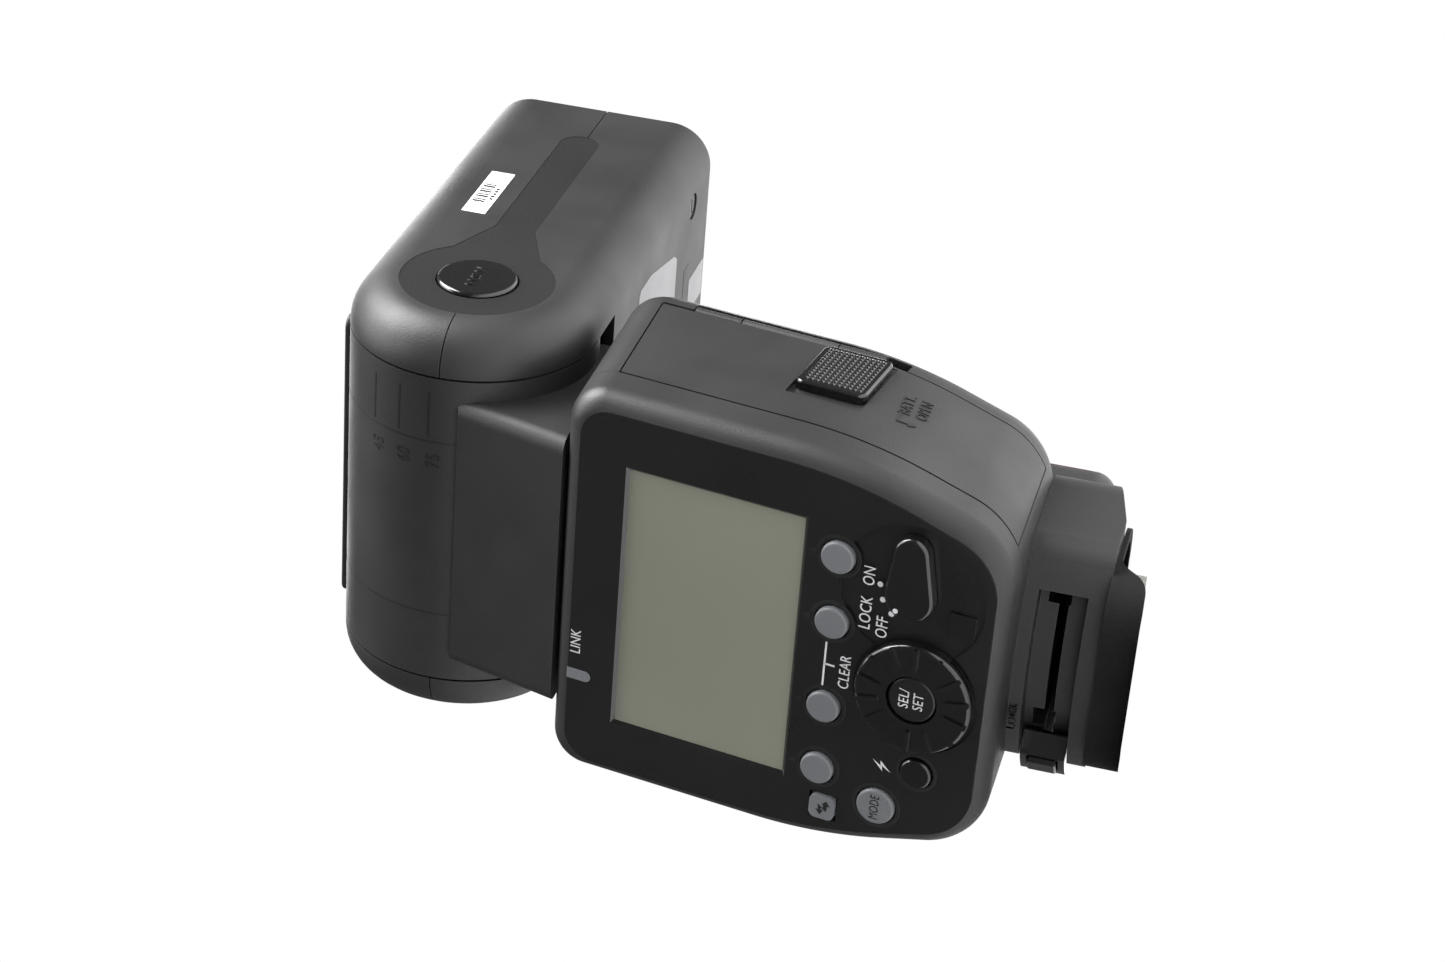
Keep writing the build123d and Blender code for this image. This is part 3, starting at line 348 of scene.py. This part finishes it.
def addText(name, spec, spot, mat, body):
    letters = bpy.data.curves.new(name, "FONT")
    letters.body = spec["words"]
    letters.size = spec["size"] * mm
    letters.align_x = "CENTER"
    letters.align_y = "CENTER"
    letters.extrude = spec["depth"] * mm
    letters.space_character = 1.05
    letters.resolution_u = 3
    holder = bpy.data.objects.new(name + "Curve", letters)
    scene.collection.objects.link(holder)
    bpy.context.view_layer.update()
    settled = holder.evaluated_get(bpy.context.evaluated_depsgraph_get())
    mesh = bpy.data.meshes.new_from_object(settled)
    bpy.data.objects.remove(holder)
    mesh.name = name
    mesh.transform(spot @ Matrix.Diagonal((spec["squeeze"], 1, 1, 1)))
    return addPiece(name, mesh, mat, body)


# printed words: beside the lever, the keys and the link lamp, then on two keys' own faces
panelInk = {"squeeze": 0.78, "depth": 0.02, "lift": 0.02}
panelWords = {
    "wordOn": {"words": "ON", "x": 17.8, "v": 41.7, "size": 2.9},
    "wordLock": {"words": "LOCK", "x": 10.8, "v": 41.7, "size": 2.9},
    "wordOff": {"words": "OFF", "x": 8.9, "v": 38.7, "size": 2.9},
    "wordClear": {"words": "CLEAR", "x": -1.6, "v": 44.2, "size": 2.7},
    "wordLink": {"words": "LINK", "x": -11.0, "v": 92.6, "size": 2.7},
}
keyWords = {
    "wordSet": {"words": "SEL/\nSET", "x": -2.06, "v": 31.85, "lift": 1.72, "size": 2.5,
                "squeeze": 0.8, "depth": 0.02, "mat": "inkPale", "body": "set_key"},
    "wordMode": {"words": "MODE", "x": -25.5, "v": 36.4, "lift": 0.72, "size": 2.3,
                 "squeeze": 0.72, "depth": 0.02, "mat": "darkMarksAndShade", "body": "mode_key"},
}
for name, spec in panelWords.items():
    spec = {**panelInk, **spec}
    addText(name, spec, panelSpot(spec["x"], spec["v"], spec["lift"]), "inkPale", "body")
for name, spec in keyWords.items():
    spot = panelSpot(spec["x"], spec["v"], spec["lift"])
    addText(name, spec, spot, spec["mat"], spec["body"])

# the line that ties two keys to a word, the lever's dots and the flash bolt
markSpec = {
    "thick": 0.32, "height": 0.04,
    "rail": 47.9, "left": -5.2, "right": 3.2, "stem": 46.1, "stemX": -1.0,
    "dots": ((16.8, 39.8), (14.1, 39.1), (11.9, 37.4)), "dotRadius": 0.5,
    "boltX": -17.4, "boltV": 36.2,
    "bolt": [(0.9, 1.6), (-1.0, -0.25), (0.05, -0.1), (-0.9, -1.7), (1.0, 0.25), (-0.05, 0.1)],
}


def addPanelMarks(spec):
    marks = bmesh.new()
    half = spec["thick"] / 2
    outlines = [bar(spec["left"], spec["right"], spec["rail"] - half, spec["rail"] + half),
                bar(spec["stemX"] - half, spec["stemX"] + half, spec["stem"], spec["rail"])]
    outlines += [circle(x, v, spec["dotRadius"]) for x, v in spec["dots"]]
    outlines.append(shifted(spec["bolt"], spec["boltX"], spec["boltV"]))
    for outline in outlines:
        prism(marks, outline, 0, spec["height"], panelSpot(0, 0))
    addMesh("panelMarks", marks, "inkPale", "body")


addPanelMarks(markSpec)

# painted shade: near-black rings laid round the keys where their deep wells fall into shade; each
# function key's ring has a pointer towards the display
wellShadeSpec = {
    "columns": (19.7, 7.3, -9.1, -21.4), "row": 47.3, "inner": 3.2, "outer": 3.95,
    "tip": 1.4, "tipHalf": 0.8, "tipNeck": 0.25,
    "others": [(-25.5, 36.4, 3.6, 4.3), (-16.8, 30.1, 3.0, 3.6)],  # x, v, inner, outer
    "lip": 0.12, "height": 0.03, "edge": 0.005, "steps": 40,
}


def addWellShadeAndPointers(spec):
    shadeRingsAndPointers = bmesh.new()
    steps = spec["steps"]
    rings = [(x, spec["row"], spec["inner"], spec["outer"]) for x in spec["columns"]]
    # each ring is painted shade over a key's well; the pointers after the loop are moulded marks
    for x, v, near, far in rings + spec["others"]:
        spot = panelSpot(x, v)
        loops = []
        for radius, lift in ((near, spec["height"]), (far - spec["lip"], spec["height"]),
                             (far, spec["edge"])):
            loops.append([shadeRingsAndPointers.verts.new(spot @ Vector((a * mm, b * mm, lift * mm)))
                          for a, b in circle(0, 0, radius, steps)])
        for low, high in zip(loops, loops[1:]):
            for i in range(steps):
                j = (i + 1) % steps
                shadeRingsAndPointers.faces.new((low[i], high[i], high[j], low[j]))
    foot = spec["row"] + spec["outer"]
    half, neck, tip = spec["tipHalf"], spec["tipNeck"], spec["tip"]
    pointer = [(-half, -0.3), (half, -0.3), (neck, tip * 0.6), (0, tip), (-neck, tip * 0.6)]
    for x in spec["columns"]:
        prism(shadeRingsAndPointers, shifted(pointer, x, foot), 0, spec["height"], panelSpot(0, 0))
    addMesh("keyWellShadeAndPointers", shadeRingsAndPointers, "darkMarksAndShade", "body")


addWellShadeAndPointers(wellShadeSpec)

# zigzag on the link key, dot on the tip of the power lever
linkIcon = {
    "x": -28.8, "v": 45.7, "lift": 0.61, "height": 0.03,
    "outline": [(-1.5, 0.2), (-0.5, 1.0), (-0.5, 0.5), (0.6, 0.7), (0.0, -0.2), (0.6, -0.4),
                (0.6, 0.0), (1.5, -0.8), (0.5, -1.5), (0.5, -1.0), (-0.7, -0.9), (0.0, 0.0),
                (-0.5, 0.1), (-0.5, -0.4)],
}
zigzag = bmesh.new()
prism(zigzag, linkIcon["outline"], 0, linkIcon["height"],
      panelSpot(linkIcon["x"], linkIcon["v"], linkIcon["lift"]))
addMesh("linkIcon", zigzag, "darkMarksAndShade", "link_key")

leverDot = {"x": 13.9, "v": 36.2, "radius": 0.45, "low": 1.98, "high": 2.03}
dot = bmesh.new()
prism(dot, circle(leverDot["x"], leverDot["v"], leverDot["radius"]), leverDot["low"],
      leverDot["high"], panelSpot(0, 0))
addMesh("leverDot", dot, "inkPale", "power_switch")

# bright rim round the display; wide and tall are half sizes
rimSpec = {"wide": 25.2, "tall": 16.15, "v": 69.25, "lip": 0.55, "depth": 0.58, "back": 0.6}


def addRim(spec):
    rim = bmesh.new()
    outer = centredBar(spec["wide"], spec["tall"])
    inner = centredBar(spec["wide"] - spec["lip"], spec["tall"] - spec["lip"])
    spot = panelSpot(0, spec["v"])
    loops = [[rim.verts.new(spot @ Vector((x * mm, y * mm, z * mm))) for x, y in outline]
             for outline, z in ((outer, 0.0), (inner, -spec["depth"]), (outer, -spec["back"]))]
    for low, high in zip(loops, loops[1:]):
        for i in range(4):
            j = (i + 1) % 4
            rim.faces.new((low[i], low[j], high[j], high[i]))
    addMesh("displayRim", rim, "leverBlack", "body")


addRim(rimSpec)
print("panel printing on")

# the grooves, ticks and figures of the tilt scale, round the tilt axle
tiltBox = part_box("tilt_trunnions")
tiltY = (tiltBox[0][1] + tiltBox[1][1]) / 2 / mm
tiltZ = (tiltBox[0][2] + tiltBox[1][2]) / 2 / mm
drumSpec = {
    "radius": 21.6, "sink": 0.1,
    "grooves": (17.6, -16.5), "grooveFrom": -12, "grooveSpan": 204, "grooveSteps": 72,
    "grooveHalf": 0.14, "grooveStepHalf": 0.6, "grooveLift": 0.02,
    "tickFrom": 18.4, "tickTo": 27.0, "tickHalf": 0.16, "tickLift": 0.05,
    "angles": (3, 18, 33), "figures": ("75", "60", "45"), "figureX": 13.9, "figureTurn": -3,
}
figureSpec = {"size": 3.6, "squeeze": 0.8, "depth": 0.06}


def drumSpot(x, degrees):
    # a flat frame on the drum: local x runs round it, local y along the axle
    turn = math.radians(degrees)
    out = Vector((0, -math.cos(turn), math.sin(turn)))
    place = Vector((x, tiltY, tiltZ)) + out * drumSpec["radius"]
    return facing(place, Vector((1, 0, 0)).cross(out), (1, 0, 0))


def addDrumScale(spec):
    grooves = bmesh.new()
    for x in spec["grooves"]:
        for i in range(spec["grooveSteps"]):
            degrees = spec["grooveFrom"] + spec["grooveSpan"] * i / spec["grooveSteps"]
            prism(grooves, centredBar(spec["grooveStepHalf"], spec["grooveHalf"]),
                  -spec["sink"], spec["grooveLift"], drumSpot(x, degrees))
    addMesh("drumGrooves", grooves, "darkMarksAndShade", "neck")
    ticks = bmesh.new()
    reach = (spec["tickTo"] - spec["tickFrom"]) / 2
    for degrees in spec["angles"]:
        prism(ticks, centredBar(spec["tickHalf"], reach), -spec["sink"], spec["tickLift"],
              drumSpot(spec["tickFrom"] + reach, degrees))
    addMesh("drumTicks", ticks, "darkMarksAndShade", "neck")
    for degrees, figure in zip(spec["angles"], spec["figures"]):
        turn = math.radians(degrees + spec["figureTurn"])
        place = (spec["figureX"], tiltY - spec["radius"] * math.cos(turn),
                 tiltZ + spec["radius"] * math.sin(turn))
        spot = facing(place, (1, 0, 0), (0, math.sin(turn), math.cos(turn)))
        addText("figure" + figure, {**figureSpec, "words": figure}, spot, "darkMarksAndShade", "neck")


addDrumScale(drumSpec)

# the head's right side: release word, sticker with plain bars
pushSpec = {"words": "PUSH", "x": 39.0, "size": 3.2, "squeeze": 0.95, "depth": 0.12}
addText("wordPush", pushSpec, facing((pushSpec["x"], tiltY, tiltZ), (0, 1, 0), (0, 0, 1)),
        "leverBlack", "tilt_release")

stickerSpec = {
    "x": 38.4, "y": 49.6, "z": 130.2, "long": 18.0, "tall": 4.4, "thick": 0.09, "ink": 0.11,
    "bars": 13, "barFrom": -5.0, "barThin": 0.22, "barStep": 0.2, "barGap": 0.3,
    "barLow": -0.5, "barHigh": 1.7,
    "dashes": 5, "dashFrom": -3.0, "dashPitch": 1.1, "dashLong": 0.7,
    "dashLow": -1.6, "dashHigh": -1.0,
}


def addSticker(spec):
    spot = facing((spec["x"], spec["y"], spec["z"]), (0, 1, 0), (0, 0, 1))
    paper = bmesh.new()
    prism(paper, centredBar(spec["long"] / 2, spec["tall"] / 2), 0, spec["thick"], spot)
    addMesh("stickerPaper", paper, "labelPaper", "head")
    bars = bmesh.new()
    place = spec["barFrom"]
    for step in range(spec["bars"]):
        width = spec["barThin"] + spec["barStep"] * ((step * 5) % 3)
        prism(bars, bar(place, place + width, spec["barLow"], spec["barHigh"]), spec["thick"],
              spec["ink"], spot)
        place += width + spec["barGap"]
    for step in range(spec["dashes"]):
        start = spec["dashFrom"] + step * spec["dashPitch"]
        prism(bars, bar(start, start + spec["dashLong"], spec["dashLow"], spec["dashHigh"]),
              spec["thick"], spec["ink"], spot)
    addMesh("stickerBars", bars, "darkMarksAndShade", "head")


addSticker(stickerSpec)
print("head marks on")

# knurled face of the battery latch: rows of small pyramids
latchSpec = {"wide": 14.5, "high": 12.5, "pitch": 0.95, "height": 0.3, "rim": 0.9,
             "sink": 0.02, "fill": 0.46}


def addKnurl(spec):
    low, high = (Vector(corner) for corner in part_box("battery_latch"))
    spot = (Matrix.Translation((high.x - spec["sink"] * mm, (low.y + high.y) / 2,
                                (low.z + high.z) / 2)) @ Matrix.Rotation(-lean, 4, "X"))
    knurl = bmesh.new()
    across = int((spec["wide"] - spec["rim"] * 2) / spec["pitch"])
    rows = int((spec["high"] - spec["rim"] * 2) / spec["pitch"])
    half = spec["pitch"] * spec["fill"]
    for i in range(across):
        for j in range(rows):
            y = (i - (across - 1) / 2) * spec["pitch"]
            z = (j - (rows - 1) / 2) * spec["pitch"]
            ring = [knurl.verts.new(spot @ Vector((0, a * mm, b * mm)))
                    for a, b in shifted(centredBar(half, half), y, z)]
            top = knurl.verts.new(spot @ Vector((spec["height"] * mm, y * mm, z * mm)))
            for k in range(4):
                knurl.faces.new((ring[k], ring[(k + 1) % 4], top))
    addMesh("latchKnurl", knurl, "leverBlack", "door_latch")


addKnurl(latchSpec)

# moulded word and arrow on the curved door
doorSpec = {
    "place": (35.36, 2.6, 41.2), "upward": (0.206, 0, 1),
    "word": {"words": "BATT.\nOPEN", "along": 1.2, "size": 3.0, "squeeze": 0.8, "depth": 0.06},
    "low": -0.05, "high": 0.06,
    "shaft": bar(-5.0, -2.2, 1.9, 2.3),
    "arrow": [(-5.0, 1.9), (-5.0, 0.2), (-5.6, 0.2), (-4.8, -1.2), (-4.0, 0.2), (-4.6, 0.2),
              (-4.6, 1.9)],
}


def addDoorMarks(spec):
    spot = facing(spec["place"], (0, 1, 0), spec["upward"])
    word = spec["word"]
    addText("wordOpen", word, spot @ Matrix.Translation((word["along"] * mm, 0, 0)),
            "darkMarksAndShade", "door")
    arrow = bmesh.new()
    for outline in (spec["shaft"], spec["arrow"]):
        prism(arrow, outline, spec["low"], spec["high"], spot)
    addMesh("doorArrow", arrow, "darkMarksAndShade", "door")


addDoorMarks(doorSpec)

# moulded word above the lock's channel
lockWord = {"words": "LOCK", "place": (-9.2, -13.6, 16.95), "size": 2.0, "squeeze": 0.9,
            "depth": 0.25}
addText("wordLockFoot", lockWord, facing(lockWord["place"], (1, 0, 0), (0, 0, 1)),
        "darkMarksAndShade", "body")

# the underside of the head: label, strip and slot; local x is forward, local y to the right
underside = 99.5
underSpec = {
    "underLabel": {"outline": [(44, 4), (70, 4), (71, 5), (71, 21), (69, 22.5), (52, 26.5),
                               (45, 26.5), (44, 25.5)], "thick": 0.06, "mat": "labelGrey"},
    "underStrip": {"outline": bar(82, 92.8, 4, 11.5), "thick": 0.06, "mat": "labelGrey"},
    "underSlot": {"outline": bar(77.5, 81.2, 9.0, 15.5), "thick": 0.05, "mat": "darkMarksAndShade"},
}
for name, spec in underSpec.items():
    shape = bmesh.new()
    prism(shape, spec["outline"], 0, spec["thick"],
          facing((0, 0, underside), (0, 1, 0), (1, 0, 0)))
    addMesh(name, shape, spec["mat"], "head")

# lit part of the link lamp
lampSpec = {"x": -17.5, "v": 90.6, "radius": 1.0, "long": 3.4, "high": 0.12, "tail": 0.1}
lamp = bmesh.new()
lampSpot = panelSpot(lampSpec["x"], lampSpec["v"])
prism(lamp, circle(0, 0, lampSpec["radius"]), 0, lampSpec["high"], lampSpot)
prism(lamp, bar(-lampSpec["radius"], lampSpec["radius"], 0, lampSpec["long"]), 0,
      lampSpec["tail"], lampSpot)
addMesh("linkLamp", lamp, "keyGrey", "body")
print("body marks on")


def aimed(place, aim):
    return (Vector(aim) - Vector(place)).to_track_quat("-Z", "Y")


def put(holder, place, turn):
    holder.matrix_world = Matrix.Translation(place) @ turn.to_matrix().to_4x4()
    scene.collection.objects.link(holder)


cameraSpec = {"place": (291.5 * mm, -470.2 * mm, -29.3 * mm),
              "look": (-0.5 * mm, 30.0 * mm, 78.5 * mm), "roll": -79.3, "lens": 82.0,
              "sensor": 36, "near": 0.01}


def addCamera(spec):
    cam = bpy.data.cameras.new("studioCamera")
    cam.lens = spec["lens"]
    cam.sensor_width = spec["sensor"]
    cam.clip_start = spec["near"]
    holder = bpy.data.objects.new("studioCamera", cam)
    roll = Matrix.Rotation(math.radians(spec["roll"]), 3, "Z").to_quaternion()
    put(holder, spec["place"], aimed(spec["place"], spec["look"]) @ roll)
    scene.camera = holder


addCamera(cameraSpec)

# softboxes: place and aim in metres, power in watts
lamps = {
    "overSide": {"place": (0.6, 0.16, 0.72), "aim": (0, 0.02, 0.08), "size": 0.6, "power": 21},
    "aboveHead": {"place": (0.2, -0.12, 0.95), "aim": (0, 0.02, 0.1), "size": 0.7, "power": 8},
    "lowFill": {"place": (0.25, -0.8, -0.25), "aim": (0, 0, 0.06), "size": 0.5, "power": 0.8},
    "frontFill": {"place": (-0.3, 0.9, 0.5), "aim": (0, 0.05, 0.1), "size": 0.7, "power": 8},
}
for name, spec in lamps.items():
    light = bpy.data.lights.new(name, "AREA")
    light.size = spec["size"]
    light.energy = spec["power"]
    put(bpy.data.objects.new(name, light), spec["place"], aimed(spec["place"], spec["aim"]))

# a dim white room for the light, seen as plain white paper
roomSpec = {"light": 0.16, "seen": 1.0}


def addRoom(spec):
    world = bpy.data.worlds.new("paleRoom")
    world.use_nodes = True
    scene.world = world
    tree = world.node_tree
    back = tree.nodes["Background"]
    back.inputs["Color"].default_value = (1, 1, 1, 1)
    back.inputs["Strength"].default_value = spec["light"]
    paper = tree.nodes.new("ShaderNodeBackground")
    paper.inputs["Color"].default_value = (1, 1, 1, 1)
    paper.inputs["Strength"].default_value = spec["seen"]
    path = tree.nodes.new("ShaderNodeLightPath")
    choose = tree.nodes.new("ShaderNodeMixShader")
    tree.links.new(path.outputs["Is Camera Ray"], choose.inputs["Fac"])
    tree.links.new(back.outputs["Background"], choose.inputs[1])
    tree.links.new(paper.outputs["Background"], choose.inputs[2])
    tree.links.new(choose.outputs["Shader"], tree.nodes["World Output"].inputs["Surface"])


addRoom(roomSpec)
scene.view_settings.view_transform = "Standard"

# the sheet's level and reach, and where it fades away from the part, all in metres
floorSpec = {"level": -1.8 * mm, "reach": 3.0, "dark": 0.86, "light": 0.9, "rough": 0.8,
             "fadeFrom": 0.22, "fadeTo": 0.6}


def shaderMix(tree, factor, under, over):
    mix = tree.nodes.new("ShaderNodeMixShader")
    tree.links.new(factor, mix.inputs["Fac"])
    tree.links.new(under, mix.inputs[1])
    tree.links.new(over, mix.inputs[2])
    return mix.outputs["Shader"]


def addFloor(spec):
    mesh = bpy.data.meshes.new("floor")
    corners = [(x, y, spec["level"]) for x, y in centredBar(spec["reach"], spec["reach"])]
    mesh.from_pydata(corners, [], [(0, 1, 2, 3)])
    floor = bpy.data.objects.new("floor", mesh)
    scene.collection.objects.link(floor)
    mat, tree, shader = newMaterial("palePaper")
    drift = objectNoise(tree, 6, 3.0)
    tree.links.new(tones(tree, drift, grey(spec["dark"]), grey(spec["light"])),
                   shader.inputs["Base Color"])
    shader.inputs["Roughness"].default_value = spec["rough"]
    # far from the part the sheet fades into a plain white backdrop
    place = tree.nodes.new("ShaderNodeTexCoord")
    span = tree.nodes.new("ShaderNodeVectorMath")
    span.operation = "LENGTH"
    tree.links.new(place.outputs["Object"], span.inputs[0])
    fade = tree.nodes.new("ShaderNodeMapRange")
    fade.interpolation_type = "SMOOTHSTEP"
    fade.inputs["From Min"].default_value = spec["fadeFrom"]
    fade.inputs["From Max"].default_value = spec["fadeTo"]
    tree.links.new(span.outputs["Value"], fade.inputs["Value"])
    glow = tree.nodes.new("ShaderNodeEmission")
    sheet = shaderMix(tree, fade.outputs["Result"], shader.outputs["BSDF"],
                      glow.outputs["Emission"])
    # the sheet is one-sided: from below it lets the view through
    clear = tree.nodes.new("ShaderNodeBsdfTransparent")
    side = tree.nodes.new("ShaderNodeNewGeometry")
    shown = shaderMix(tree, side.outputs["Backfacing"], sheet, clear.outputs["BSDF"])
    tree.links.new(shown, tree.nodes["Material Output"].inputs["Surface"])
    mesh.materials.append(mat)


addFloor(floorSpec)
print("stage set")
